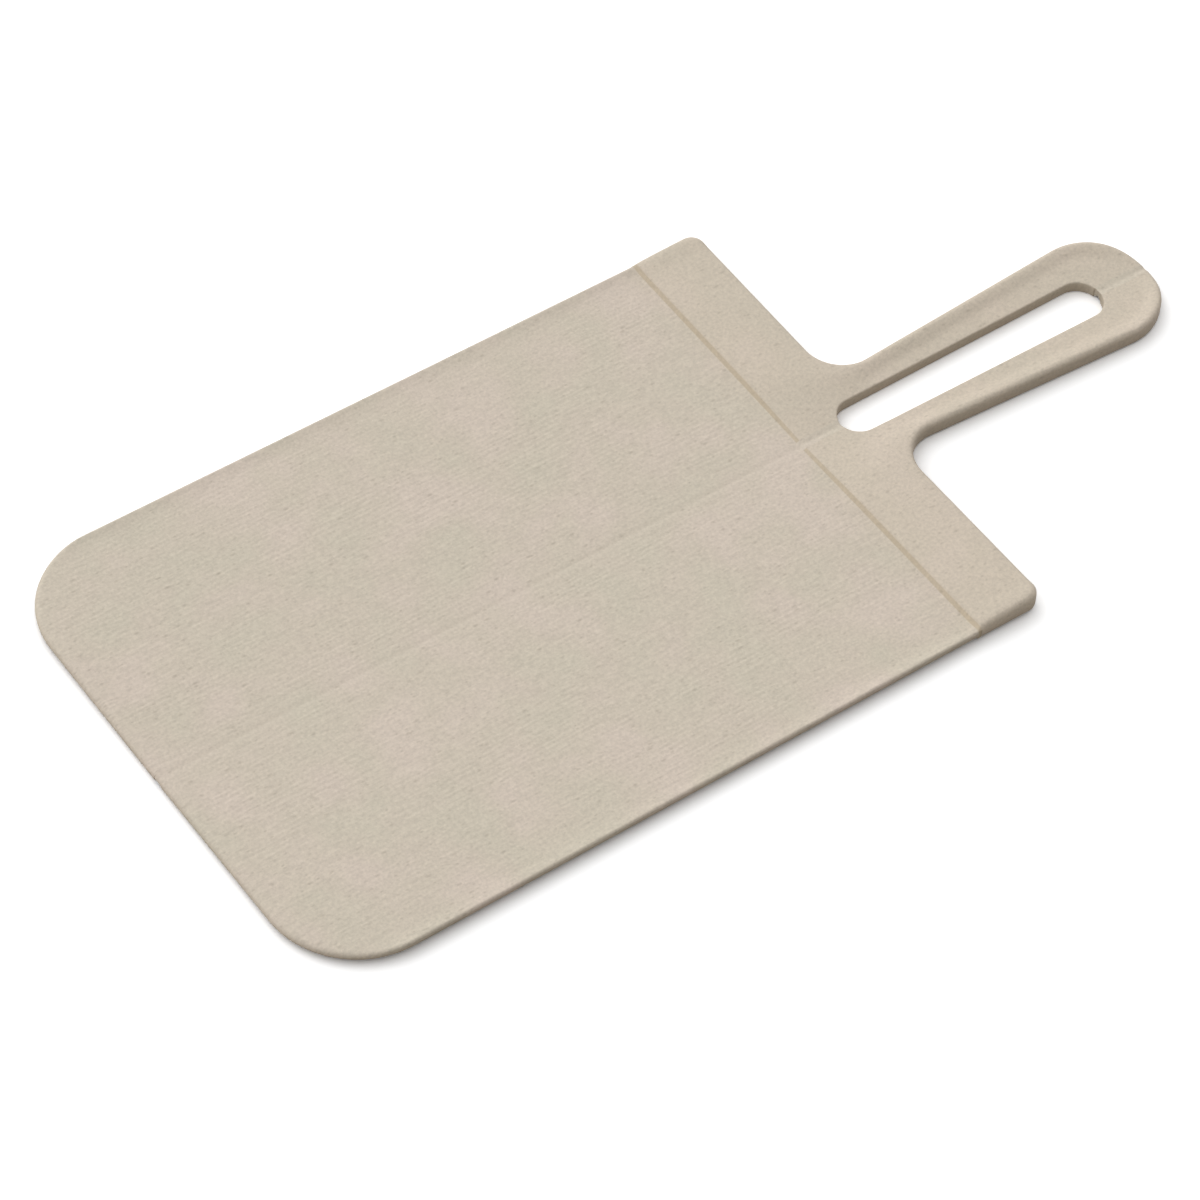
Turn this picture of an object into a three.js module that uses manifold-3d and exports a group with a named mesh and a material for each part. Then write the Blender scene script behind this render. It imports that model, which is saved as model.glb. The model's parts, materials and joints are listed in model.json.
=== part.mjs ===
// Folding cutting board: two panels and a loop handle in two halves, joined by film hinges along one centre crease.
// Millimetres, +Z up, +X from the board's near end to the handle's tip, origin under the middle of the whole outline.

import * as THREE from 'three';
import { mergeVertices } from 'three/addons/utils/BufferGeometryUtils.js';
import Module from 'manifold-3d';

// Plan of the board
const BOARD_WIDTH = 225;
const PANEL_LENGTH = 296.7;
const NEAR_CORNER_RADIUS = 38;
const PANEL_THICKNESS = 5;
const PANEL_RIM_ROUND = 2.4;
const PANEL_FOOT_ROUND = 2.3;

// Raised margin along each long side of the board
const LIP_WIDTH = 7;
const LIP_HEIGHT = 0.9;
const LIP_RUN_OUT = 24;

// Cross strip between the board and the handle: a wing on each side of the crease
const WING_LENGTH = 30.7;
const WING_CORNER_RADIUS = 6.5;
const WING_SHOULDER_RADIUS = 3;
const WING_RIM_RISE = 3.2;

// Loop handle
const HANDLE_LENGTH = 145.4;
const NECK_WIDTH = 42.4;
const NECK_FILLET_RADIUS = 16;
const TIP_WIDTH = 54;
const HANDLE_RIM_ROUND = 2.2;
const HANDLE_FOOT_ROUND = 1.5;

// Valley along the crease in the top of the handle, and the raised rim around it
const VALLEY_HALF_WIDTH = 35;
const VALLEY_NECK_HALF_WIDTH = 20.5;
const VALLEY_SLOPE = 0.05;
const RIM_RISE = 2.6;
const RIM_WIDTH = 3;
const TIP_RIM_SHARE = 0.15;
const RIM_BANK_WIDTH = 4.5;
const NECK_BANK_WIDTH = 12;
const CREASE_BANK_SLOPE = 0.35;

// Finger slot in the handle, narrower at the underside
const SLOT_SETBACK = 11;
const TIP_WALL = 25.3;
const SLOT_NEAR_WIDTH = 17.6;
const SLOT_FAR_WIDTH = 19.6;
const SLOT_DRAFT = THREE.MathUtils.degToRad(4);

// Film hinges along the crease, and the grooves across the board
const REST_ANGLE = THREE.MathUtils.degToRad(0.6);
const FILM_WIDTH = 4;
const FILM_THICKNESS = 0.8;
const FILM_RECESS = 0.4;
const FILM_END_SETBACK = 1;
const SEAM_GAP = 0.3;
const CROSS_GROOVE_WIDTH = 1.4;
const CROSS_GROOVE_DEPTH = 2;
const WEB_THICKNESS = 1.2;
const WEB_END_MARGIN = 5;

// Finish and facets
const SAND_PLASTIC = { color: 0xc9bfaf, roughness: 0.62, metalness: 0 };
const FILM_PLASTIC = { color: 0xb9ad99, roughness: 0.6, metalness: 0 };
const ARC_DIVISIONS = 5;
const ROUND_STEPS = 3;
const TIP_STEPS = 6;
const OVERSIZE = 12;

// Places along X, measured from the cross groove, and across Y, measured from the crease
const NEAR_END_X = -PANEL_LENGTH;
const WING_END_X = WING_LENGTH;
const TIP_X = WING_LENGTH + HANDLE_LENGTH;
const SLOT_START_X = WING_LENGTH - SLOT_SETBACK;
const SLOT_END_X = TIP_X - TIP_WALL;
const BOARD_EDGE_Y = BOARD_WIDTH / 2;
const INNER_EDGE_Y = FILM_WIDTH / 2 + SEAM_GAP;
const GROOVE_WALL_X = CROSS_GROOVE_WIDTH / 2;
const TIP_RADIUS = TIP_WIDTH / 2;
const TIP_CENTRE_X = TIP_X - TIP_RADIUS;
const NECK_X = WING_END_X + NECK_FILLET_RADIUS;
const HINGE_DEPTH = FILM_RECESS + FILM_THICKNESS / 2;

// Height of the hinge axis: the inner bottom edges of the tilted halves stand on z = 0
const HINGE_Z = (PANEL_THICKNESS - HINGE_DEPTH) * Math.cos(REST_ANGLE) - INNER_EDGE_Y * Math.sin(REST_ANGLE);
const MIDDLE_X = (NEAR_END_X + TIP_X) / 2;

const wasm = await Module();
wasm.setup();

// Turn a closed geometry into a solid that can be cut
function toSolid(geometry) {
  const bare = geometry.clone();
  bare.deleteAttribute('normal');
  bare.deleteAttribute('uv');
  const merged = mergeVertices(bare, 1e-4);
  return new wasm.Manifold(new wasm.Mesh({
    numProp: 3,
    vertProperties: new Float32Array(merged.attributes.position.array),
    triVerts: new Uint32Array(merged.index.array),
  }));
}

// Turn a cut solid back into a geometry
function toGeometry(solid) {
  const mesh = solid.getMesh();
  const geometry = new THREE.BufferGeometry();
  geometry.setAttribute('position', new THREE.BufferAttribute(new Float32Array(mesh.vertProperties), 3));
  geometry.setIndex(new THREE.BufferAttribute(new Uint32Array(mesh.triVerts), 1));
  geometry.computeVertexNormals();
  return geometry;
}

// Outline of a path on the left (side 1) or mirrored to the right (side -1)
function outline(path, side) {
  const points = path.getPoints(ARC_DIVISIONS);
  return new THREE.Shape(points.map((p) => new THREE.Vector2(p.x, p.y * side)));
}

// Prism of a plan outline from z = low to z = high, with both rims rounded
function roundedPrism(shape, low, high, round) {
  const geometry = new THREE.ExtrudeGeometry(shape, {
    depth: high - low - 2 * round,
    bevelEnabled: round > 0,
    bevelThickness: round,
    bevelSize: round,
    bevelOffset: -round,
    bevelSegments: ROUND_STEPS,
  });
  return geometry.translate(0, 0, low + round);
}

// Prism of a section drawn in Y and Z, from x = start to x = end
function alongX(shape, start, end) {
  const geometry = new THREE.ExtrudeGeometry(shape, { depth: end - start, bevelEnabled: false });
  const turn = new THREE.Matrix4().makeBasis(
    new THREE.Vector3(0, 1, 0), new THREE.Vector3(0, 0, 1), new THREE.Vector3(1, 0, 0));
  return geometry.applyMatrix4(turn).translate(start, 0, 0);
}

// Prism of a profile drawn in X and Z, across the whole width
function alongY(shape, width) {
  const geometry = new THREE.ExtrudeGeometry(shape, { depth: width, bevelEnabled: false });
  const turn = new THREE.Matrix4().makeBasis(
    new THREE.Vector3(1, 0, 0), new THREE.Vector3(0, 0, 1), new THREE.Vector3(0, -1, 0));
  return geometry.applyMatrix4(turn).translate(0, width / 2, 0);
}

// Slope a prism upward away from the crease: rise per millimetre of Y, from a base height at the crease
function sloped(geometry, side, rise, base) {
  const shear = new THREE.Matrix4().makeShear(0, 0, 0, side * rise, 0, 0);
  return geometry.applyMatrix4(shear).translate(0, 0, base);
}

// Board panel: rounded outline, raised margin across the section, rim and margin run-out along the length
function panelGeometry(side) {
  const plan = new THREE.Path();
  plan.moveTo(NEAR_END_X, -OVERSIZE);
  plan.lineTo(OVERSIZE, -OVERSIZE);
  plan.lineTo(OVERSIZE, BOARD_EDGE_Y);
  plan.lineTo(NEAR_END_X + NEAR_CORNER_RADIUS, BOARD_EDGE_Y);
  plan.absarc(NEAR_END_X + NEAR_CORNER_RADIUS, BOARD_EDGE_Y - NEAR_CORNER_RADIUS, NEAR_CORNER_RADIUS,
    Math.PI / 2, Math.PI, false);
  const shape = outline(plan, side);
  const top = roundedPrism(shape, -PANEL_THICKNESS - OVERSIZE, LIP_HEIGHT, PANEL_RIM_ROUND);
  const foot = roundedPrism(shape, -PANEL_THICKNESS, OVERSIZE, PANEL_FOOT_ROUND);

  const section = new THREE.Path();
  section.moveTo(INNER_EDGE_Y, -PANEL_THICKNESS - OVERSIZE);
  section.lineTo(BOARD_EDGE_Y + OVERSIZE, -PANEL_THICKNESS - OVERSIZE);
  section.lineTo(BOARD_EDGE_Y + OVERSIZE, LIP_HEIGHT);
  section.lineTo(BOARD_EDGE_Y, LIP_HEIGHT);
  section.quadraticCurveTo(BOARD_EDGE_Y - LIP_WIDTH / 2, 0, BOARD_EDGE_Y - LIP_WIDTH, 0);
  section.lineTo(INNER_EDGE_Y, 0);
  const sectionPoints = section.getPoints(ARC_DIVISIONS).map((p) => new THREE.Vector2(p.x * side, p.y));
  const crossSection = alongX(new THREE.Shape(sectionPoints), NEAR_END_X - OVERSIZE, -GROOVE_WALL_X);

  const profile = new THREE.Path();
  profile.moveTo(OVERSIZE, -PANEL_THICKNESS - OVERSIZE);
  profile.lineTo(OVERSIZE, 0);
  profile.lineTo(0, 0);
  profile.quadraticCurveTo(-LIP_RUN_OUT / 2, 0, -LIP_RUN_OUT, LIP_HEIGHT);
  profile.lineTo(NEAR_END_X + LIP_RUN_OUT, LIP_HEIGHT);
  profile.quadraticCurveTo(NEAR_END_X + LIP_RUN_OUT / 2, 0, NEAR_END_X + PANEL_RIM_ROUND, 0);
  profile.absarc(NEAR_END_X + PANEL_RIM_ROUND, -PANEL_RIM_ROUND, PANEL_RIM_ROUND,
    Math.PI / 2, Math.PI, false);
  profile.lineTo(NEAR_END_X, -PANEL_THICKNESS - OVERSIZE);
  const lengthProfile = alongY(new THREE.Shape(profile.getPoints(ARC_DIVISIONS)), BOARD_WIDTH + OVERSIZE);

  const blank = toSolid(top).intersect(toSolid(foot));
  return toGeometry(blank.intersect(toSolid(crossSection)).intersect(toSolid(lengthProfile)));
}

// Outer edge of one handle half: wing, neck fillet, arm and round tip
function handlePath() {
  const neckY = NECK_WIDTH / 2;
  const reach = Math.hypot(TIP_CENTRE_X - NECK_X, neckY);
  const flare = Math.asin(TIP_RADIUS / reach) - Math.atan2(neckY, TIP_CENTRE_X - NECK_X);
  const filletY = neckY + NECK_FILLET_RADIUS / Math.cos(flare);
  const path = new THREE.Path();
  path.moveTo(-OVERSIZE, -OVERSIZE);
  path.lineTo(TIP_X, -OVERSIZE);
  path.absarc(TIP_CENTRE_X, 0, TIP_RADIUS, 0, Math.PI / 2 + flare, false);
  path.absarc(NECK_X, filletY, NECK_FILLET_RADIUS, flare - Math.PI / 2, -Math.PI, true);
  path.absarc(WING_END_X - WING_CORNER_RADIUS, BOARD_EDGE_Y - WING_CORNER_RADIUS, WING_CORNER_RADIUS,
    0, Math.PI / 2, false);
  path.lineTo(-OVERSIZE, BOARD_EDGE_Y);
  return path;
}

// Finger slot: a stadium that widens towards the tip
function slotPath() {
  const near = SLOT_NEAR_WIDTH / 2;
  const far = SLOT_FAR_WIDTH / 2;
  const nearX = SLOT_START_X + near;
  const farX = SLOT_END_X - far;
  const flare = Math.asin((far - near) / (farX - nearX));
  const path = new THREE.Path();
  path.absarc(farX, 0, far, -Math.PI / 2 - flare, Math.PI / 2 + flare, false);
  path.absarc(nearX, 0, near, Math.PI / 2 + flare, 1.5 * Math.PI - flare, false);
  return path;
}

// Tool for the slot: its walls lean inward from above the rim down past the underside
function slotGeometry() {
  const height = WING_RIM_RISE + PANEL_THICKNESS + OVERSIZE;
  const lean = height * Math.tan(SLOT_DRAFT);
  const geometry = new THREE.ExtrudeGeometry(outline(slotPath(), 1), {
    depth: OVERSIZE,
    bevelThickness: height,
    bevelSize: lean,
    bevelOffset: -lean,
    bevelSegments: 1,
  });
  return geometry.translate(0, 0, WING_RIM_RISE);
}

// Solid through a row of four-cornered sections, closed by its first and last one
function loft(sections, side) {
  const corners = sections[0].length;
  const index = [0, 1, 2, 0, 2, 3];
  for (let row = 0; row < sections.length - 1; row += 1) {
    for (let i = 0; i < corners; i += 1) {
      const here = row * corners;
      const next = (i + 1) % corners;
      index.push(here + i, here + corners + i, here + next);
      index.push(here + next, here + corners + i, here + corners + next);
    }
  }
  const last = (sections.length - 1) * corners;
  index.push(last, last + 2, last + 1, last, last + 3, last + 2);
  const geometry = new THREE.BufferGeometry().setFromPoints(sections.flat());
  geometry.setIndex(side > 0 ? index.reverse() : index);
  return geometry;
}

// Tool for the valley: sections across the crease, swept along the handle and round its tip, where the rim sinks
function valleyGeometry(side) {
  const top = WING_RIM_RISE + HANDLE_RIM_ROUND;
  const section = (x, turn, edge, bank) => {
    const foot = edge - bank;
    const floor = VALLEY_SLOPE * foot * Math.cos(turn);
    const upright = THREE.MathUtils.smoothstep(Math.cos(turn), 0, 1);
    const crest = RIM_RISE * THREE.MathUtils.lerp(TIP_RIM_SHARE, 1, upright);
    const reach = edge + bank * (top - crest) / (crest - floor);
    const point = (r, z) => new THREE.Vector3(x + r * Math.sin(turn), r * Math.cos(turn) * side, z);
    return [point(0, 0), point(foot, floor), point(reach, top), point(0, top)];
  };
  const tipEdge = TIP_RADIUS - RIM_WIDTH;
  const sections = [
    section(-OVERSIZE, 0, VALLEY_HALF_WIDTH, VALLEY_HALF_WIDTH - INNER_EDGE_Y),
    section(0, 0, VALLEY_HALF_WIDTH, VALLEY_HALF_WIDTH - INNER_EDGE_Y),
    section(WING_END_X, 0, VALLEY_NECK_HALF_WIDTH, NECK_BANK_WIDTH),
    section(NECK_X, 0, NECK_WIDTH / 2 - RIM_WIDTH, RIM_BANK_WIDTH),
  ];
  for (let step = 0; step <= TIP_STEPS; step += 1) {
    const turn = (Math.PI / 2) * (step / TIP_STEPS);
    sections.push(section(TIP_CENTRE_X, turn, tipEdge, RIM_BANK_WIDTH));
  }
  return loft(sections, side);
}

// Handle half: rounded outline under a rim that climbs outward, with the valley and the finger slot cut out
function handleGeometry(side) {
  const shape = outline(handlePath(), side);
  const rimSlope = (WING_RIM_RISE - RIM_RISE) / BOARD_EDGE_Y;
  const depth = -PANEL_THICKNESS - OVERSIZE - CREASE_BANK_SLOPE * BOARD_EDGE_Y;
  const rimTop = sloped(roundedPrism(shape, depth, 0, HANDLE_RIM_ROUND), side, rimSlope, RIM_RISE);
  const creaseTop = sloped(roundedPrism(shape, depth, 0, 0), side, CREASE_BANK_SLOPE, 0);
  const foot = roundedPrism(shape, -PANEL_THICKNESS, OVERSIZE, HANDLE_FOOT_ROUND);

  const room = new THREE.Path();
  room.moveTo(GROOVE_WALL_X, INNER_EDGE_Y);
  room.lineTo(TIP_X + OVERSIZE, INNER_EDGE_Y);
  room.lineTo(TIP_X + OVERSIZE, BOARD_EDGE_Y);
  room.lineTo(GROOVE_WALL_X + WING_SHOULDER_RADIUS, BOARD_EDGE_Y);
  room.absarc(GROOVE_WALL_X + WING_SHOULDER_RADIUS, BOARD_EDGE_Y - WING_SHOULDER_RADIUS, WING_SHOULDER_RADIUS,
    Math.PI / 2, Math.PI, false);
  const trim = roundedPrism(outline(room, side), depth, 2 * OVERSIZE, 0);

  const blank = toSolid(rimTop).intersect(toSolid(creaseTop)).intersect(toSolid(foot)).intersect(toSolid(trim));
  return toGeometry(blank.subtract(toSolid(valleyGeometry(side))).subtract(toSolid(slotGeometry())));
}

// Film hinge: a thin band, folded along the crease by the rest angle
function filmGeometry(start, end) {
  const half = FILM_WIDTH / 2;
  const lift = half * Math.tan(REST_ANGLE);
  const band = new THREE.Shape([
    new THREE.Vector2(-half, lift - FILM_THICKNESS),
    new THREE.Vector2(0, -FILM_THICKNESS),
    new THREE.Vector2(half, lift - FILM_THICKNESS),
    new THREE.Vector2(half, lift),
    new THREE.Vector2(0, 0),
    new THREE.Vector2(-half, lift),
  ]);
  return alongX(band, start, end).translate(0, 0, -FILM_RECESS);
}

// Web under the cross groove, between the panel and the wing
function webGeometry(side) {
  const length = BOARD_EDGE_Y - WEB_END_MARGIN - INNER_EDGE_Y;
  const geometry = new THREE.BoxGeometry(CROSS_GROOVE_WIDTH - 2 * SEAM_GAP, length, WEB_THICKNESS);
  return geometry.translate(0, side * (INNER_EDGE_Y + length / 2), -CROSS_GROOVE_DEPTH - WEB_THICKNESS / 2);
}

function addMesh(parent, name, geometry, finish) {
  const mesh = new THREE.Mesh(geometry, new THREE.MeshStandardMaterial(finish));
  mesh.name = name;
  mesh.position.z = HINGE_DEPTH;
  parent.add(mesh);
}

const board = new THREE.Group();
board.position.set(-MIDDLE_X, 0, HINGE_Z);

for (const [label, side] of [['left', 1], ['right', -1]]) {
  const half = new THREE.Group();
  half.rotation.x = side * REST_ANGLE;
  addMesh(half, `${label}_board_panel`, panelGeometry(side), SAND_PLASTIC);
  addMesh(half, `${label}_handle_half`, handleGeometry(side), SAND_PLASTIC);
  addMesh(half, `${label}_cross_web`, webGeometry(side), FILM_PLASTIC);
  board.add(half);
}

addMesh(board, 'centre_hinge_film', filmGeometry(NEAR_END_X + FILM_END_SETBACK, SLOT_START_X), FILM_PLASTIC);
addMesh(board, 'tip_hinge_film', filmGeometry(SLOT_END_X, TIP_X - FILM_END_SETBACK), FILM_PLASTIC);

export default board;
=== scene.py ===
"""Folding cutting board in speckled sand plastic: ridged panels, dished loop handle, film hinges."""

import json
import math

import bmesh
import bpy
from mathutils import Matrix, Vector


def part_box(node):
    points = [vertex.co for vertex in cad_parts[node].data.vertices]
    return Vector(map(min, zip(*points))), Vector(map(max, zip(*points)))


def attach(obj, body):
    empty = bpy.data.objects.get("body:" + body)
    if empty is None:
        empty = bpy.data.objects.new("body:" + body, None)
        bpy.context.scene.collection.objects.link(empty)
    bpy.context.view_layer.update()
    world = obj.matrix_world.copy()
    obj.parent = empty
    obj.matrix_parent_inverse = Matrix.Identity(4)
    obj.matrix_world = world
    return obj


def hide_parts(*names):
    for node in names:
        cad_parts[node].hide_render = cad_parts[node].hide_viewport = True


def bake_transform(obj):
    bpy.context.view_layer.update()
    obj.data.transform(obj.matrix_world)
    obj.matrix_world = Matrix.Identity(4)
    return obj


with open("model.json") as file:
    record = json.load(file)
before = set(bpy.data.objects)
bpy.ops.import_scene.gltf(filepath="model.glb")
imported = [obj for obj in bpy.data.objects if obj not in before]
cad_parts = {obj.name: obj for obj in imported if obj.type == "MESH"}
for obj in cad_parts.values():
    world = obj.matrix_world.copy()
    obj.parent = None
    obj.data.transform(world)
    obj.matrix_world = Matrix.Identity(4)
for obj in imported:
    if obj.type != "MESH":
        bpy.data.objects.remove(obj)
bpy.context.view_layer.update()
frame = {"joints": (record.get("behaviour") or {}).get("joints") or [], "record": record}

# Each half is modelled in millimetres: x from the cross groove, y from the crease, z from the board's top
MM = 0.001
PANEL_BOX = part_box("left_board_panel")
HANDLE_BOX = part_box("left_handle_half")
CENTRE_FILM_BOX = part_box("centre_hinge_film")
TIP_FILM_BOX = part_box("tip_hinge_film")
CROSS_X = (PANEL_BOX[1].x + HANDLE_BOX[0].x) / 2
HINGE_Z = frame["joints"][0]["pos_m"][2]
REST_ANGLE = math.asin(frame["record"]["mounts"][0]["axis"][1])

# Board panel
NEAR_END_X = (PANEL_BOX[0].x - CROSS_X) / MM
GROOVE_WALL_X = (HANDLE_BOX[0].x - PANEL_BOX[1].x) / 2 / MM
BOARD_EDGE_Y = 112.5
INNER_EDGE_Y = 2.3
NEAR_CORNER_RADIUS = 38
THICKNESS = 5
PANEL_RIM_ROUND = 1.5
PANEL_FOOT_ROUND = 3
NEAR_RIM_ROUND = 2.5
NEAR_FOOT_ROUND = 2.4
FIELD_SINK = 0.95
BANK_WIDTH = 10
BANK_RUN_OUT = 36
LIP_RISE = 0.4
LIP_RISE_START = -110

# Fine ridges along the board
RIDGE_PITCH = 2.2
RIDGE_HEIGHT = 0.045
RIDGE_MARGIN = 7
RIDGE_NEAR_MARGIN = 5
RIDGE_FAR_MARGIN = 5.5
RIDGE_FADE = 2.5
RIDGE_SAMPLES = 6
RIDGE_BREAK_LENGTH = 12
RIDGE_WANDER = 7.0
RIDGE_DRIFT_SCALE = 0.5
RIDGE_BREAK_SCALE = 1.3
RIDGE_PATCH_SCALE = 0.12
RIDGE_PATCH_RANGE = (0.35, 0.65)
RIDGE_WEAR = (0.15, 1.3)
RIDGE_SEED = 3.7

# Wings and loop handle
WING_LENGTH = 30.7
WING_CORNER_RADIUS = 6.5
WING_LIP_WIDTH = 11
WING_LIP_CREST = 2
WING_LIP_HEIGHT = 0.55
WING_STEP_SHARE = 0.5
WING_RIM_ROUND = 3.2
WING_STEP_RIM_ROUND = 2.6
WING_STEP_FOOT_ROUND = 2.2
NECK_WIDTH = 42.4
NECK_FILLET_RADIUS = 16
TIP_X = (HANDLE_BOX[1].x - CROSS_X) / MM
TIP_RADIUS = 27
RIM_ROUND = 2.2
FOOT_ROUND = 1.5
SLOT_EDGE_ROUND = 0.6

# Valley in the handle's top, and the rim around it
VALLEY_HALF_WIDTH = 35
VALLEY_NECK_HALF_WIDTH = 20.5
VALLEY_SLOPE = 0.05
RIM_RISE = 2.6
RIM_WIDTH = 3
RIM_BANK_WIDTH = 4.5
NECK_BANK_WIDTH = 12
CREASE_BANK_SLOPE = 0.35
TIP_RIM_SHARE = 0.12
TIP_RIM_FULL = 0.9
VALLEY_SOFTNESS = 0.5
CREASE_SOFTNESS = 0.125

# Finger slot
SLOT_START_X = (CENTRE_FILM_BOX[1].x - CROSS_X) / MM
SLOT_END_X = (TIP_FILM_BOX[0].x - CROSS_X) / MM
SLOT_NEAR_RADIUS = 8.6
SLOT_FAR_RADIUS = 9.6

# Film hinges and cross webs
FILM_DEPTH_IN_BOARD = 0.13
FILM_DEPTH_IN_HANDLE = 0.16
FILM_UNDERSIDE = 1.45
HINGE_DEPTH = 0.8
FILM_END_SETBACK = 0.25
FILM_LEAST_THICKNESS = 0.15
FILM_END_RUN = 4
FILM_END_DEPTH = 2.9
FILM_NEAR_END_DEPTH = 3.2
FILM_STEPS_ACROSS = 8
STEP_REACH = 1.7
WEB_DIP = 0.05
WEB_UNDERSIDE = 4.3
WEB_END_MARGIN = 0.3
WEB_SEAT = 0.1
WEB_STEPS = 7

# Mesh density
ARC_STEP = math.radians(4)
ROUND_SEGMENTS = 4
CELL_COARSE = 5
CELL_FINE = 1.2
CELL_STEP = 0.25
CELL_MARGIN = 1
CELL_WING = 2
CELL_WING_SIDE = 3
PANEL_NEAR_CELLS = (1, 2.5, 5, 8)
PANEL_FAR_CELLS = (3, 5, 8)
PANEL_END_CLEAR = 12
WING_CELL_START = 3
FILM_END_CELLS = (0, 0.15, 0.35, 0.6, 1, 1.5)
FILM_END_CLEAR = 2
WEB_END_CELLS = (2.2, 1.5, 0.9, 0.5, 0.2, 0)
WEB_END_CLEAR = 3
TOP_TOLERANCE = 0.001
CUT_TOLERANCE = 0.00001
SHARP_ANGLE = math.radians(40)

# Patterns in the plastic, lengths in millimetres; a fleck is (cell, radius, share of cells, strength)
CLOUD_SIZE = 32
FIBRE_SIZE = (9, 1.1, 4)
GRAIN_SIZE = 1.3
GRAIN_SHADE = 0.1
FLECKS = ((3.6, 0.75, 0.5, 0.3), (1.9, 0.5, 0.5, 0.24))
FLECK_LENGTH = 2
FLECK_CORE = 0.1
SPECK_COLOUR = "#7d7161"
MATTE_SIZE = 0.5
MATTE_DEPTH = 0.05
ROUGHNESS = (0.52, 0.66)
NOISE_RANGE = (0.3, 0.7)
CLOUD_RANGE = (0.34, 0.5, 0.66)

# Camera that took the photograph: place in metres, directions, and focal length in pixels
PHOTO_SIZE = 1200
FOCAL_PIXELS = 4781
CAMERA_PLACE = Vector((-0.7843, -0.9024, 1.4076))
CAMERA_VIEW = Vector((0.4045, 0.4868, -0.7742))
CAMERA_RIGHT = Vector((0.8108, -0.5824, 0.0574))
SENSOR_MM = 36
CLIP_START = 0.05

# Studio
KEY_PLACE = Vector((-0.5, 2.4, 2.6))
KEY_SIZE = 2.5
KEY_POWER = 20
SKY_LEVEL = 0.755
SKY_LEAN = (-0.12, 0.62, 0.2)
FLOOR_SIZE = 6
FLOOR_COLOUR = "#f8f8f8"
FLOOR_BOUNCE_COLOUR = "#8c7d68"
FLOOR_OVEREXPOSURE = 1.35


def linear(colour):
    """Linear RGBA of an sRGB hex colour."""
    channels = [int(colour[i:i + 2], 16) / 255 for i in (1, 3, 5)]
    return [c / 12.92 if c <= 0.04045 else ((c + 0.055) / 1.055) ** 2.4 for c in channels] + [1.0]


def add(tree, kind, inputs=None, **settings):
    """Add a node with its settings; an input is a value, or an output of another node to link."""
    made = tree.nodes.new(kind)
    for name, value in settings.items():
        setattr(made, name, value)
    for key, value in (inputs or {}).items():
        if isinstance(value, bpy.types.NodeSocket):
            tree.links.new(value, made.inputs[key])
        else:
            made.inputs[key].default_value = value
    return made


def smooth(low, high, value):
    """0 below low, 1 above high, and an even curve between."""
    t = min(max((value - low) / (high - low), 0), 1)
    return t * t * (3 - 2 * t)


def soft_min(a, b, softness):
    """The lower of two heights, with the corner between them rounded off."""
    h = min(max(0.5 + (b - a) / (2 * softness), 0), 1)
    return b + (a - b) * h - softness * h * (1 - h)


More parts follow.
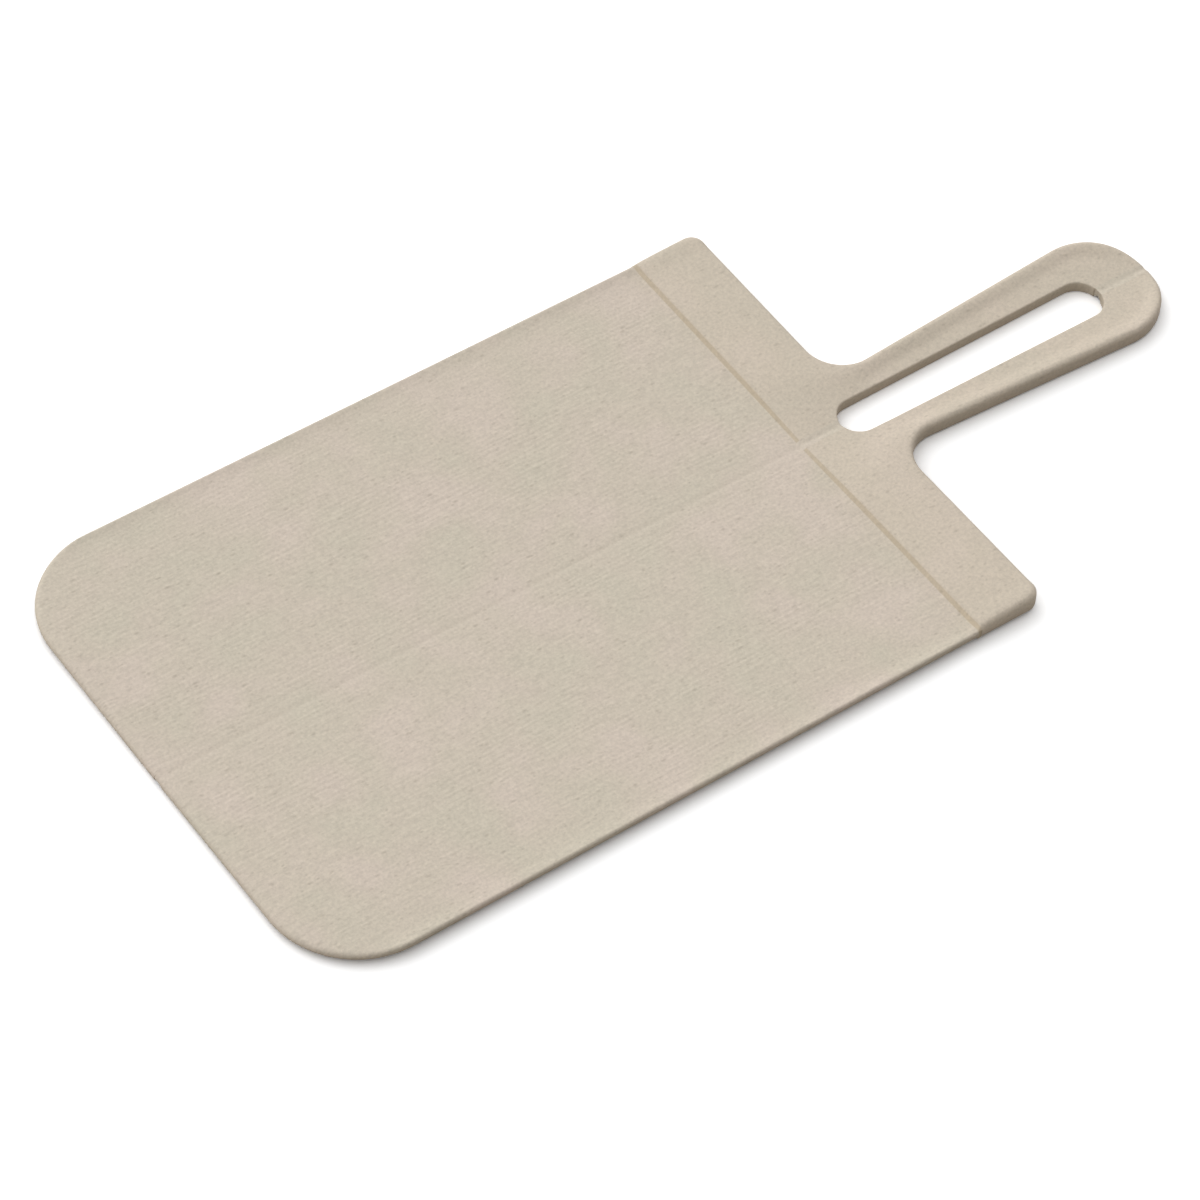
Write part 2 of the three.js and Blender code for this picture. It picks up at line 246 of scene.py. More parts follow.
def sand_plastic(name, base, warm, cool, streaks):
    """Injection-moulded polypropylene with plant-fibre filler: matte, softly mottled, finely speckled."""
    material = bpy.data.materials.new(name)
    material.use_nodes = True
    tree = material.node_tree
    tree.nodes.clear()
    place = add(tree, "ShaderNodeTexCoord").outputs["Object"]
    noise = {"From Min": NOISE_RANGE[0], "From Max": NOISE_RANGE[1]}

    # Broad clouds of slightly warmer and greyer plastic
    clouds = add(tree, "ShaderNodeTexNoise", {
        "Vector": place, "Scale": 1 / (CLOUD_SIZE * MM), "Detail": 2.0})
    tint = add(tree, "ShaderNodeValToRGB", {"Fac": clouds.outputs["Fac"]})
    stops = tint.color_ramp.elements
    stops[0].position = CLOUD_RANGE[0]
    stops[0].color = linear(cool)
    stops[1].position = CLOUD_RANGE[2]
    stops[1].color = linear(warm)
    stops.new(CLOUD_RANGE[1]).color = linear(base)

    # Fibre streaks along the flow of the moulding, on the board only
    stretched = add(tree, "ShaderNodeMapping", {
        "Vector": place, "Scale": [1 / (size * MM) for size in FIBRE_SIZE]})
    fibres = add(tree, "ShaderNodeTexNoise", {
        "Vector": stretched.outputs["Vector"], "Scale": 1.0, "Detail": 3.0, "Roughness": 0.6})
    fibre_shade = add(tree, "ShaderNodeMapRange", {
        "Value": fibres.outputs["Fac"], **noise, "To Min": 1 - streaks, "To Max": 1 + streaks})

    # Grainy cloudiness of the filler
    grain = add(tree, "ShaderNodeTexNoise", {
        "Vector": place, "Scale": 1 / (GRAIN_SIZE * MM), "Detail": 3.0, "Roughness": 0.65})
    grain_shade = add(tree, "ShaderNodeMapRange", {
        "Value": grain.outputs["Fac"], **noise, "To Min": 1 - GRAIN_SHADE, "To Max": 1 + GRAIN_SHADE})
    shade = add(tree, "ShaderNodeMath", {
        0: fibre_shade.outputs[0], 1: grain_shade.outputs[0]}, operation="MULTIPLY")
    toned = add(tree, "ShaderNodeVectorMath", {
        0: tint.outputs["Color"], "Scale": shade.outputs[0]}, operation="SCALE")

    # Husk flecks in two sizes, longer than wide; only some cells of the pattern hold one
    colour = toned.outputs[0]
    drawn_out = add(tree, "ShaderNodeMapping", {"Vector": place, "Scale": (1 / FLECK_LENGTH, 1, 1)})
    for cell, radius, share, strength in FLECKS:
        husks = add(tree, "ShaderNodeTexVoronoi", {
            "Vector": drawn_out.outputs["Vector"], "Scale": 1 / (cell * MM)})
        near = add(tree, "ShaderNodeMapRange", {
            "Value": husks.outputs["Distance"], "From Min": FLECK_CORE * radius / cell,
            "From Max": radius / cell, "To Min": strength, "To Max": 0.0})
        pick = add(tree, "ShaderNodeSeparateColor", {"Color": husks.outputs["Color"]})
        kept = add(tree, "ShaderNodeMath", {0: pick.outputs["Red"], 1: share}, operation="LESS_THAN")
        amount = add(tree, "ShaderNodeMath", {
            0: near.outputs[0], 1: kept.outputs[0]}, operation="MULTIPLY")
        mixed = add(tree, "ShaderNodeMix", {
            "Factor": amount.outputs[0], "A": colour, "B": linear(SPECK_COLOUR)}, data_type="RGBA")
        colour = mixed.outputs["Result"]

    # Fine moulded matte texture, drawn a little coarser than the real one so that it shows
    matte = add(tree, "ShaderNodeTexNoise", {
        "Vector": place, "Scale": 1 / (MATTE_SIZE * MM), "Detail": 2.0})
    relief = add(tree, "ShaderNodeBump", {
        "Height": matte.outputs["Fac"], "Strength": 0.25, "Distance": MATTE_DEPTH * MM})
    gloss = add(tree, "ShaderNodeMapRange", {
        "Value": grain.outputs["Fac"], **noise, "To Min": ROUGHNESS[0], "To Max": ROUGHNESS[1]})
    surface = add(tree, "ShaderNodeBsdfPrincipled", {
        "Base Color": colour, "Roughness": gloss.outputs[0], "Normal": relief.outputs["Normal"],
        "IOR": 1.49, "Specular IOR Level": 0.3})
    add(tree, "ShaderNodeOutputMaterial", {"Surface": surface.outputs["BSDF"]})
    return material


# Board: fibre streaks along the ridges give the matte field a faint woody look
BOARD_PLASTIC = sand_plastic("ridged_speckled_polypropylene", "#c9beae", "#cdc0b2", "#c7bead", 0.05)

# Handle: the same plastic without streaks looks smooth and evenly speckled
HANDLE_PLASTIC = sand_plastic("smooth_speckled_polypropylene", "#c9bdac", "#ccbfaf", "#c7bcab", 0.0)

# Films: the board's colour without streaks, so that the crease shows only by its shading
FILM_PLASTIC = sand_plastic("flexed_polypropylene_film", "#c9beae", "#cdc0b2", "#c7bead", 0.0)

# Cross webs: painted shade; a darker and warmer tone stands in for the shade in the cross groove and
# draws the soft line across the board
WEB_PLASTIC = sand_plastic("groove_shade_polypropylene_web", "#bfb19b", "#c2b49f", "#bdaf99", 0.0)


def half_matrix(side):
    """From a half's own millimetres to the frame, for the left (1) or mirrored right (-1) half."""
    lift = Matrix.Translation((CROSS_X, 0, HINGE_Z)) @ Matrix.Rotation(side * REST_ANGLE, 4, "X")
    return lift @ Matrix.Diagonal((MM, side * MM, MM, 1)) @ Matrix.Translation((0, 0, HINGE_DEPTH))


def settle(piece, side):
    """Put a half's finished mesh in its place in the frame, faces outward and softly shaded."""
    mesh = piece.data
    mesh.transform(half_matrix(side))
    if side < 0:
        mesh.flip_normals()
    mesh.shade_smooth()
    mesh.set_sharp_from_angle(angle=SHARP_ANGLE)
    return piece


def new_piece(name, mesh, material):
    """Link a mesh as a piece of the object, with one material."""
    mesh.materials.clear()
    mesh.materials.append(material)
    piece = bpy.data.objects.new(name, mesh)
    bpy.context.scene.collection.objects.link(piece)
    return piece


def baked(piece):
    """Apply a piece's modifiers to its mesh."""
    evaluated = piece.evaluated_get(bpy.context.evaluated_depsgraph_get())
    mesh = bpy.data.meshes.new_from_object(evaluated)
    piece.modifiers.clear()
    piece.data = mesh
    return piece


def arc(centre, radius, start, end):
    """Points along an arc, both ends included; angles in radians."""
    count = max(2, math.ceil(abs(end - start) / ARC_STEP))
    angles = [start + (end - start) * i / count for i in range(count + 1)]
    return [(centre[0] + radius * math.cos(a), centre[1] + radius * math.sin(a)) for a in angles]


def graded(points, start, end):
    """Sides of an outline along an arc, whose (top, foot) rounds change evenly from start to end."""
    last = len(points) - 1
    sides = []
    for i, point in enumerate(points):
        top, foot = (a + (b - a) * i / last for a, b in zip(start, end))
        sides.append(([point], top, foot))
    return sides


def rounded_slab(name, sides, material):
    """Slab under z = 0 with rounded edges; sides are (points, top round, foot round) along it."""
    mesh = bmesh.new()
    widest = max(max(top, foot) for _, top, foot in sides)
    weight = mesh.edges.layers.float.new("bevel_weight_edge")
    outline = [point for points, _, _ in sides for point in points]
    rounds = [(top, foot) for points, top, foot in sides for _ in points]
    tops = [mesh.verts.new((x, y, 0)) for x, y in outline]
    feet = [mesh.verts.new((x, y, -THICKNESS)) for x, y in outline]
    mesh.faces.new(tops)
    mesh.faces.new(feet[::-1])
    for i, (top, foot) in enumerate(rounds):
        j = (i + 1) % len(outline)
        mesh.faces.new((tops[j], tops[i], feet[i], feet[j]))
        mesh.edges.get((tops[i], tops[j]))[weight] = top / widest
        mesh.edges.get((feet[i], feet[j]))[weight] = foot / widest
    data = bpy.data.meshes.new(name)
    mesh.to_mesh(data)
    mesh.free()
    piece = new_piece(name, data, material)
    bevel = piece.modifiers.new("rounded edges", "BEVEL")
    bevel.limit_method = "WEIGHT"
    bevel.offset_type = "OFFSET"
    bevel.width = widest
    bevel.segments = ROUND_SEGMENTS
    bevel.use_clamp_overlap = False
    bevel.miter_inner = "MITER_SHARP"
    return baked(piece)


def cells(piece, xs, ys):
    """Cut the slab into cells at the given places along x and y."""
    mesh = bmesh.new()
    mesh.from_mesh(piece.data)
    for normal, places in ((Vector((1, 0, 0)), xs), (Vector((0, 1, 0)), ys)):
        for place in places:
            parts = mesh.verts[:] + mesh.edges[:] + mesh.faces[:]
            bmesh.ops.bisect_plane(
                mesh, geom=parts, dist=CUT_TOLERANCE, plane_co=normal * place, plane_no=normal)
    mesh.to_mesh(piece.data)
    mesh.free()


def spaced(low, high, step):
    """Even places from low to high, both included, about a step apart."""
    count = max(1, round((high - low) / step))
    return [low + (high - low) * i / count for i in range(count + 1)]


def raise_top(piece, rim_round, foot_round):
    """Lift the slab's top to the moulding's height; the foot stays and the wall stretches between."""
    low = foot_round - THICKNESS
    for vertex in piece.data.vertices:
        x, y, z = vertex.co
        share = min(max((z - low) / (-rim_round - low), 0), 1)
        if share > 0:
            vertex.co.z = z + share * top_rise(x, y)


# Height of the top over the plain board

def between(value, places, heights):
    """Straight-line reading of a height between known places."""
    for low, high, start, end in zip(places, places[1:], heights, heights[1:]):
        if value <= high:
            return start + (end - start) * max(value - low, 0) / (high - low)
    return heights[-1]


NECK_X = WING_LENGTH + NECK_FILLET_RADIUS
TIP_CENTRE_X = TIP_X - TIP_RADIUS


def panel_rise(x, y):
    """Sunk field with a bank up to the long side, fading at the near end and rising towards the wing."""
    bank = max(y - BOARD_EDGE_Y + BANK_WIDTH, 0) / BANK_WIDTH
    along = smooth(NEAR_END_X, NEAR_END_X + BANK_RUN_OUT, x)
    lip = LIP_RISE * smooth(LIP_RISE_START, 0, x)
    return (FIELD_SINK + lip) * bank ** 3 * along - FIELD_SINK


def handle_rise(x, y):
    """The handle's top: a valley along the crease, a bank up to the rim, and the wing's raised margin."""
    lip = smooth(BOARD_EDGE_Y - WING_LIP_WIDTH, BOARD_EDGE_Y - WING_LIP_CREST, y)
    rim = RIM_RISE + WING_LIP_HEIGHT * lip
    stations = (0, WING_LENGTH, NECK_X, TIP_CENTRE_X)
    neck_edge = NECK_WIDTH / 2 - RIM_WIDTH
    tip_edge = TIP_RADIUS - RIM_WIDTH
    edge = between(x, stations, (VALLEY_HALF_WIDTH, VALLEY_NECK_HALF_WIDTH, neck_edge, tip_edge))
    bank = between(x, stations, (
        VALLEY_HALF_WIDTH - INNER_EDGE_Y, NECK_BANK_WIDTH, RIM_BANK_WIDTH, RIM_BANK_WIDTH))
    reach = math.hypot(max(x - TIP_CENTRE_X, 0), y)
    upright = y / reach if reach > 0 else 1
    crest = RIM_RISE * (TIP_RIM_SHARE + (1 - TIP_RIM_SHARE) * smooth(0, TIP_RIM_FULL, upright))
    foot = edge - bank
    floor = VALLEY_SLOPE * foot * upright
    valley = floor * reach / foot
    climb = floor + (crest - floor) * (reach - foot) / bank
    valley = -soft_min(-valley, -climb, VALLEY_SOFTNESS)
    dished = soft_min(rim + crest - RIM_RISE, valley, VALLEY_SOFTNESS)
    short_of_end = 1 - min(max(x / WING_LENGTH, 0), 1)
    climbed = 1 - (1 - WING_STEP_SHARE) * short_of_end * short_of_end
    return climbed * soft_min(dished, CREASE_BANK_SLOPE * y, CREASE_SOFTNESS)


def top_rise(x, y):
    """The whole moulding's top: the board, a soft step across it, and the handle."""
    if x < -STEP_REACH:
        return panel_rise(x, y)
    if x > STEP_REACH:
        return handle_rise(x, y)
    panel = panel_rise(x, y)
    return panel + smooth(-STEP_REACH, STEP_REACH, x) * (handle_rise(x, y) - panel)


# Board panels

def edge_distance(x, y):
    """How far a place on the panel lies from its near end, round corner or long side."""
    corner_x = NEAR_END_X + NEAR_CORNER_RADIUS
    corner_y = BOARD_EDGE_Y - NEAR_CORNER_RADIUS
    if x < corner_x and y > corner_y:
        return NEAR_CORNER_RADIUS - math.hypot(x - corner_x, y - corner_y)
    return min(x - NEAR_END_X, BOARD_EDGE_Y - y)


def ridge_share(x, y):
    """1 where the board is ridged, fading to 0 at its smooth margins."""
    side = smooth(RIDGE_MARGIN - RIDGE_FADE, RIDGE_MARGIN + RIDGE_FADE, BOARD_EDGE_Y - y)
    inside = edge_distance(x, y)
    round_end = smooth(RIDGE_NEAR_MARGIN - RIDGE_FADE, RIDGE_NEAR_MARGIN + RIDGE_FADE, inside)
    crease = smooth(0, RIDGE_FADE, y - INNER_EDGE_Y)
    far = smooth(RIDGE_FAR_MARGIN - RIDGE_FADE, RIDGE_FAR_MARGIN + RIDGE_FADE, -x)
    return side * round_end * crease * far


def ridge_tree(material):
    """Nodes that raise fine, slightly broken ridges along x wherever ridge_share allows."""
    tree = bpy.data.node_groups.new("fine_board_ridges", "GeometryNodeTree")
    tree.interface.new_socket("Geometry", in_out="INPUT", socket_type="NodeSocketGeometry")
    for name in ("Ridge Pitch", "Ridge Height", "Break Length", "Seed"):
        tree.interface.new_socket(name, in_out="INPUT", socket_type="NodeSocketFloat")
    tree.interface.new_socket("Geometry", in_out="OUTPUT", socket_type="NodeSocketGeometry")
    given = add(tree, "NodeGroupInput").outputs
    position = add(tree, "GeometryNodeInputPosition").outputs[0]
    place = add(tree, "ShaderNodeSeparateXYZ", {0: position}).outputs
    share = add(tree, "GeometryNodeInputNamedAttribute", {
        "Name": "ridge_share"}, data_type="FLOAT").outputs[0]

    along = add(tree, "ShaderNodeMath", {
        0: place["X"], 1: given["Break Length"]}, operation="DIVIDE").outputs[0]
    across = add(tree, "ShaderNodeMath", {
        0: place["Y"], 1: given["Ridge Pitch"]}, operation="DIVIDE").outputs[0]
    field = add(tree, "ShaderNodeCombineXYZ", {0: along, 1: across, 2: given["Seed"]}).outputs[0]
    drift = add(tree, "ShaderNodeTexNoise", {
        "Vector": field, "Scale": RIDGE_DRIFT_SCALE, "Detail": 1.0}).outputs["Fac"]
    broken = add(tree, "ShaderNodeTexNoise", {
        "Vector": field, "Scale": RIDGE_BREAK_SCALE, "Detail": 2.0}).outputs["Fac"]
    patches = add(tree, "ShaderNodeTexNoise", {
        "Vector": field, "Scale": RIDGE_PATCH_SCALE, "Detail": 0.0}).outputs["Fac"]
    worn = add(tree, "ShaderNodeMapRange", {
        "Value": patches, "From Min": RIDGE_PATCH_RANGE[0], "From Max": RIDGE_PATCH_RANGE[1],
        "To Min": RIDGE_WEAR[0], "To Max": RIDGE_WEAR[1]}).outputs[0]
    wander = add(tree, "ShaderNodeMath", {0: drift, 1: RIDGE_WANDER}, operation="MULTIPLY").outputs[0]
    phase = add(tree, "ShaderNodeMath", {
        0: across, 1: math.tau, 2: wander}, operation="MULTIPLY_ADD").outputs[0]
    wave = add(tree, "ShaderNodeMath", {0: phase}, operation="SINE").outputs[0]
    height = add(tree, "ShaderNodeMath", {
        0: wave, 1: broken, 2: broken}, operation="MULTIPLY_ADD").outputs[0]
    height = add(tree, "ShaderNodeMath", {0: height, 1: 0.5}, operation="SUBTRACT").outputs[0]
    for factor in (given["Ridge Height"], worn, share):
        height = add(tree, "ShaderNodeMath", {0: height, 1: factor}, operation="MULTIPLY").outputs[0]
    lift = add(tree, "ShaderNodeCombineXYZ", {2: height}).outputs[0]
    moved = add(tree, "GeometryNodeSetPosition", {
        "Geometry": given["Geometry"], "Offset": lift}).outputs[0]
    real = add(tree, "GeometryNodeRealizeInstances", {"Geometry": moved}).outputs[0]
    finish = add(tree, "GeometryNodeSetMaterial", {"Geometry": real, "Material": material}).outputs[0]
    add(tree, "NodeGroupOutput", {"Geometry": finish})
    return tree


RIDGES = ridge_tree(BOARD_PLASTIC)


def board_panel(name, side):
    """Thin panel with a round near corner, a raised long margin and fine ridges over its top."""
    corner = (NEAR_END_X + NEAR_CORNER_RADIUS, BOARD_EDGE_Y - NEAR_CORNER_RADIUS)
    round_corner = arc(corner, NEAR_CORNER_RADIUS, math.pi / 2, math.pi)
    piece = rounded_slab(name, [
        ([(-GROOVE_WALL_X, INNER_EDGE_Y)], 0, 0),
        ([(-GROOVE_WALL_X, BOARD_EDGE_Y)], PANEL_RIM_ROUND, PANEL_FOOT_ROUND),
        *graded(round_corner, (PANEL_RIM_ROUND, PANEL_FOOT_ROUND), (NEAR_RIM_ROUND, NEAR_FOOT_ROUND)),
        ([(NEAR_END_X, INNER_EDGE_Y)], 0, 0),
    ], BOARD_PLASTIC)
    middle = spaced(NEAR_END_X + PANEL_END_CLEAR, -PANEL_END_CLEAR, CELL_COARSE)
    near_end = [NEAR_END_X + step for step in PANEL_NEAR_CELLS]
    far_end = [-step for step in PANEL_FAR_CELLS] + spaced(-STEP_REACH, -GROOVE_WALL_X, CELL_STEP)[:-1]
    ridge_end = BOARD_EDGE_Y - RIDGE_MARGIN + RIDGE_FADE
    ridged = spaced(INNER_EDGE_Y, ridge_end, RIDGE_PITCH / RIDGE_SAMPLES)[1:]
    margin = spaced(ridge_end, BOARD_EDGE_Y, CELL_MARGIN)[1:-1]
    cells(piece, sorted(middle + near_end + far_end), ridged + margin)
    share = piece.data.attributes.new("ridge_share", "FLOAT", "POINT")
    for vertex, value in zip(piece.data.vertices, share.data):
        on_top = vertex.co.z > -TOP_TOLERANCE
        value.value = ridge_share(vertex.co.x, vertex.co.y) if on_top else 0
    raise_top(piece, 0, 0)
    ridges = piece.modifiers.new("fine ridges", "NODES")
    ridges.node_group = RIDGES
    settings = {"Ridge Pitch": RIDGE_PITCH, "Ridge Height": RIDGE_HEIGHT,
                "Break Length": RIDGE_BREAK_LENGTH, "Seed": RIDGE_SEED * side}
    for item in RIDGES.interface.items_tree:
        if item.in_out == "INPUT" and item.name in settings:
            ridges[item.identifier] = settings[item.name]
    return settle(baked(piece), side)


# Handle halves

ARM_FLARE = math.asin(TIP_RADIUS / math.hypot(TIP_CENTRE_X - NECK_X, NECK_WIDTH / 2)) - math.atan2(
    NECK_WIDTH / 2, TIP_CENTRE_X - NECK_X)


def slot_edge():
    """Left half of the finger slot's outline, from its near end to its far end."""
    near = (SLOT_START_X + SLOT_NEAR_RADIUS, 0)
    far = (SLOT_END_X - SLOT_FAR_RADIUS, 0)
    lean = math.asin((SLOT_FAR_RADIUS - SLOT_NEAR_RADIUS) / (far[0] - near[0]))
    start = math.pi - math.asin(INNER_EDGE_Y / SLOT_NEAR_RADIUS)
    end = math.asin(INNER_EDGE_Y / SLOT_FAR_RADIUS)
    return (arc(near, SLOT_NEAR_RADIUS, start, math.pi / 2 + lean)
            + arc(far, SLOT_FAR_RADIUS, math.pi / 2 + lean, end))


def arm_edge():
    """Outer edge of the left arm, from the tip to the neck."""
    start = math.asin(INNER_EDGE_Y / TIP_RADIUS)
    tip = arc((TIP_CENTRE_X, 0), TIP_RADIUS, start, math.pi / 2 + ARM_FLARE)
    fillet = (NECK_X, NECK_WIDTH / 2 + NECK_FILLET_RADIUS / math.cos(ARM_FLARE))
    return tip + arc(fillet, NECK_FILLET_RADIUS, ARM_FLARE - math.pi / 2, -math.pi)


def handle_half(name, side):
    """Wing and arm of the loop handle, with a rounded rim, a dished top and softened slot edges."""
    corner = (WING_LENGTH - WING_CORNER_RADIUS, BOARD_EDGE_Y - WING_CORNER_RADIUS)
    wing_corner = arc(corner, WING_CORNER_RADIUS, 0, math.pi / 2)[:-1]
    wing_side = [(x, BOARD_EDGE_Y) for x in spaced(GROOVE_WALL_X, corner[0], CELL_WING_SIDE)[:0:-1]]
    piece = rounded_slab(name, [
        ([(GROOVE_WALL_X, INNER_EDGE_Y)], 0, 0),
        (slot_edge()[:-1], SLOT_EDGE_ROUND, SLOT_EDGE_ROUND),
        (slot_edge()[-1:], 0, 0),
        (arm_edge(), RIM_ROUND, FOOT_ROUND),
        *graded(wing_corner, (RIM_ROUND, FOOT_ROUND), (WING_RIM_ROUND, FOOT_ROUND)),
        *graded(wing_side, (WING_RIM_ROUND, FOOT_ROUND), (WING_STEP_RIM_ROUND, WING_STEP_FOOT_ROUND)),
        ([(GROOVE_WALL_X, BOARD_EDGE_Y)], 0, 0),
    ], HANDLE_PLASTIC)
    arm_top = TIP_RADIUS + RIM_ROUND
    step = spaced(GROOVE_WALL_X, STEP_REACH, CELL_STEP)[1:]
    wing = spaced(WING_CELL_START, WING_LENGTH, CELL_WING)
    loop = spaced(WING_LENGTH, TIP_X, CELL_FINE)[1:-1]
    inner = spaced(INNER_EDGE_Y, arm_top, CELL_FINE)[1:]
    outer = spaced(arm_top, BOARD_EDGE_Y, CELL_WING)[1:-1]
    cells(piece, step + wing + loop, inner + outer)
    raise_top(piece, RIM_ROUND, FOOT_ROUND)
    return settle(piece, side)


# Film hinges and cross webs

def lofted(name, rows, material):
    """Closed solid through rows of points, each row a ring round the section."""
    mesh = bmesh.new()
    rings = [[mesh.verts.new(point) for point in row] for row in rows]
    count = len(rings[0])
    for here, there in zip(rings, rings[1:]):
        for i in range(count):
            j = (i + 1) % count
            mesh.faces.new((here[i], here[j], there[j], there[i]))
    mesh.faces.new(rings[0][::-1])
    mesh.faces.new(rings[-1])
    bmesh.ops.recalc_face_normals(mesh, faces=mesh.faces)
    data = bpy.data.meshes.new(name)
    mesh.to_mesh(data)
    mesh.free()
    return new_piece(name, data, material)


def film_edge_height(x):
    """Height of the moulding that the film runs into, along its outer edge."""
    return top_rise(x, INNER_EDGE_Y)


def round_drop(inside, radius):
    """How far a rounded edge has dropped at a place inside it."""
    short = max(radius - inside, 0)
    return radius - math.sqrt(radius * radius - short * short)


def film_half(name, side, start, end, rounds, depths):
    """One side of a film hinge: a shallow channel that bends from the crease to the moulding's edge."""
    ys = [INNER_EDGE_Y * i / FILM_STEPS_ACROSS for i in range(FILM_STEPS_ACROSS + 1)]
    length = end(0) - start(0)
    middle = spaced(FILM_END_CLEAR, length - FILM_END_CLEAR, CELL_FINE)
    places = [*FILM_END_CELLS, *middle, *(length - step for step in reversed(FILM_END_CELLS))]
    rows = []
    for place in places:
        thick = 1 - smooth(0, FILM_END_RUN, min(place, length - place))
        outer_depth = depths[0] if place < length / 2 else depths[1]
        drop = max(round_drop(place + FILM_END_SETBACK, rounds[0]),
                   round_drop(length - place + FILM_END_SETBACK, rounds[1]))
        top = []
        under = []
        for y in ys:
            x = start(y) + (end(y) - start(y)) * place / length
            end_depth = FILM_END_DEPTH + (outer_depth - FILM_END_DEPTH) * y / INNER_EDGE_Y
            bottom = -FILM_UNDERSIDE - (end_depth - FILM_UNDERSIDE) * thick
            edge = film_edge_height(x)
            deep = FILM_DEPTH_IN_HANDLE if x > 0 else FILM_DEPTH_IN_BOARD
            height = edge - (deep + max(edge, 0)) * (1 - smooth(0, INNER_EDGE_Y, y)) - drop
            top.append((x, y, max(height, bottom + FILM_LEAST_THICKNESS)))
            under.append((x, y, bottom))
        rows.append(top + under[::-1])
    return settle(lofted(name, rows, FILM_PLASTIC), side)


def circle_x(centre, radius, y):
    """Place along x where a round end crosses a line at y; a negative radius takes its near side."""
    return centre + math.copysign(math.sqrt(radius * radius - y * y), radius)


def centre_film(name, side):
    """Film between the panels and through the neck, from the near end to the finger slot."""
    return film_half(
        name, side,
        lambda y: NEAR_END_X + FILM_END_SETBACK,
        lambda y: circle_x(SLOT_START_X + SLOT_NEAR_RADIUS, -SLOT_NEAR_RADIUS, y) - FILM_END_SETBACK,
        (NEAR_RIM_ROUND, SLOT_EDGE_ROUND), (FILM_NEAR_END_DEPTH, THICKNESS - SLOT_EDGE_ROUND))


def tip_film(name, side):
    """Film across the tip, from the finger slot to the handle's end."""
    return film_half(
        name, side,
        lambda y: circle_x(SLOT_END_X - SLOT_FAR_RADIUS, SLOT_FAR_RADIUS, y) + FILM_END_SETBACK,
        lambda y: circle_x(TIP_CENTRE_X, TIP_RADIUS, y) - FILM_END_SETBACK,
        (SLOT_EDGE_ROUND, RIM_ROUND), (THICKNESS - SLOT_EDGE_ROUND, THICKNESS - FOOT_ROUND))


def cross_web(name, side):
    """Web between the panel and the wing: the middle of the soft step."""
    rows = []
    reach = GROOVE_WALL_X + WEB_SEAT
    last = BOARD_EDGE_Y - WEB_END_MARGIN
    middle = spaced(INNER_EDGE_Y, last - WEB_END_CLEAR, CELL_WING)
    for y in middle + [last - step for step in WEB_END_CELLS]:
        ring = []
        for x in spaced(-reach, reach, 2 * reach / WEB_STEPS):
            rim = PANEL_RIM_ROUND + (WING_STEP_RIM_ROUND - PANEL_RIM_ROUND) * smooth(-reach, reach, x)
            ring.append((x, y, top_rise(x, y) - round_drop(BOARD_EDGE_Y - y, rim) - WEB_DIP))
        rows.append(ring + [(reach, y, -WEB_UNDERSIDE), (-reach, y, -WEB_UNDERSIDE)])
    # The web's plastic carries the painted shade of the cross groove
    return settle(lofted(name, rows, WEB_PLASTIC), side)


for label, side in (("left", 1), ("right", -1)):
    body = f"{label}_half"
    for name, made, node, slot in (
            (f"{label}_ridged_panel", board_panel, f"{label}_board_panel", "board_plastic"),
            (f"{label}_dished_handle", handle_half, f"{label}_handle_half", "handle_plastic"),
            (f"{label}_groove_web", cross_web, f"{label}_cross_web", "hinge_plastic")):
        piece = made(name, side)
        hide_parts(node)
        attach(piece, body)
    for name, made, node in (
            (f"{label}_centre_film", centre_film, "centre_hinge_film"),
            (f"{label}_tip_film", tip_film, "tip_hinge_film")):
        piece = made(name, side)
        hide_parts(node)
        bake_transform(piece)


# Camera, floor and light

def photo_camera():
    """Camera at the photograph's place and angle."""
    data = bpy.data.cameras.new("photo_camera")
    data.sensor_width = SENSOR_MM
    data.lens = FOCAL_PIXELS / PHOTO_SIZE * SENSOR_MM
    data.clip_start = CLIP_START
    camera = bpy.data.objects.new("photo_camera", data)
    bpy.context.scene.collection.objects.link(camera)
    back = -CAMERA_VIEW.normalized()
    right = (CAMERA_RIGHT - CAMERA_RIGHT.dot(back) * back).normalized()
    turn = Matrix((right, back.cross(right), back)).transposed()
    camera.matrix_world = Matrix.Translation(CAMERA_PLACE) @ turn.to_4x4()
    bpy.context.scene.camera = camera


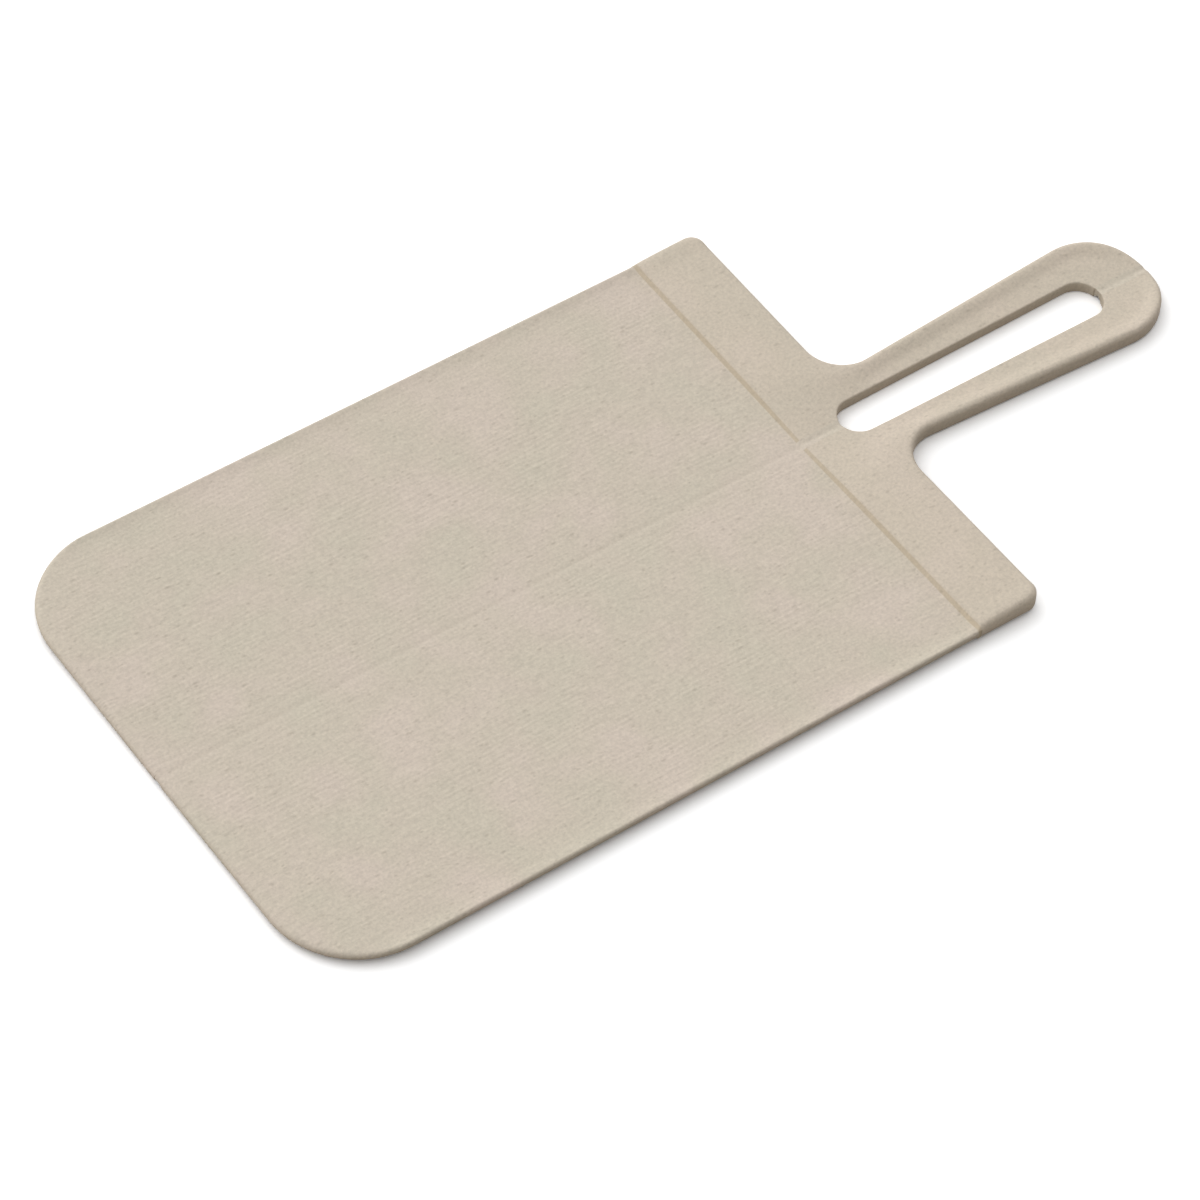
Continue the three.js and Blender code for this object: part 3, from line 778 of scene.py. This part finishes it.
def studio_floor():
    """White matte paper that keeps the shadow; seen directly it is overexposed, as in the photograph."""
    material = bpy.data.materials.new("white_studio_paper")
    material.use_nodes = True
    tree = material.node_tree
    tree.nodes.clear()
    ray = add(tree, "ShaderNodeLightPath").outputs
    seen = ray["Is Camera Ray"]
    for kind in ("Is Glossy Ray", "Is Transmission Ray"):
        seen = add(tree, "ShaderNodeMath", {0: seen, 1: ray[kind]}, operation="MAXIMUM").outputs[0]
    white = [channel * FLOOR_OVEREXPOSURE for channel in linear(FLOOR_COLOUR)]
    tone = add(tree, "ShaderNodeMix", {
        "Factor": seen, "A": linear(FLOOR_BOUNCE_COLOUR), "B": white}, data_type="RGBA")
    paper = add(tree, "ShaderNodeBsdfDiffuse", {"Color": tone.outputs["Result"]})
    add(tree, "ShaderNodeOutputMaterial", {"Surface": paper.outputs[0]})
    mesh = bpy.data.meshes.new("studio_floor")
    reach = FLOOR_SIZE / 2
    corners = [(-reach, -reach, 0), (reach, -reach, 0), (reach, reach, 0), (-reach, reach, 0)]
    mesh.from_pydata(corners, [], [(0, 1, 2, 3)])
    floor = new_piece("studio_floor", mesh, material)


def studio_light():
    """White room that is brighter on the photograph's left, with a weak soft key light from there."""
    data = bpy.data.lights.new("key_light", "AREA")
    data.size = KEY_SIZE
    data.energy = KEY_POWER
    key = bpy.data.objects.new("key_light", data)
    bpy.context.scene.collection.objects.link(key)
    aim = KEY_PLACE.to_track_quat("Z", "Y").to_matrix().to_4x4()
    key.matrix_world = Matrix.Translation(KEY_PLACE) @ aim
    world = bpy.data.worlds.new("white_room")
    world.use_nodes = True
    tree = world.node_tree
    tree.nodes.clear()
    towards = add(tree, "ShaderNodeTexCoord").outputs["Generated"]
    lean = add(tree, "ShaderNodeVectorMath", {
        0: towards, 1: SKY_LEAN}, operation="DOT_PRODUCT").outputs["Value"]
    level = add(tree, "ShaderNodeMath", {0: lean, 1: SKY_LEVEL}, operation="ADD").outputs[0]
    level = add(tree, "ShaderNodeMath", {0: level, 1: 0.0}, operation="MAXIMUM").outputs[0]
    walls = add(tree, "ShaderNodeBackground", {"Color": (1, 1, 1, 1), "Strength": level})
    add(tree, "ShaderNodeOutputWorld", {"Surface": walls.outputs[0]})
    bpy.context.scene.world = world


photo_camera()
studio_floor()
studio_light()
bpy.context.scene.view_settings.view_transform = "Standard"
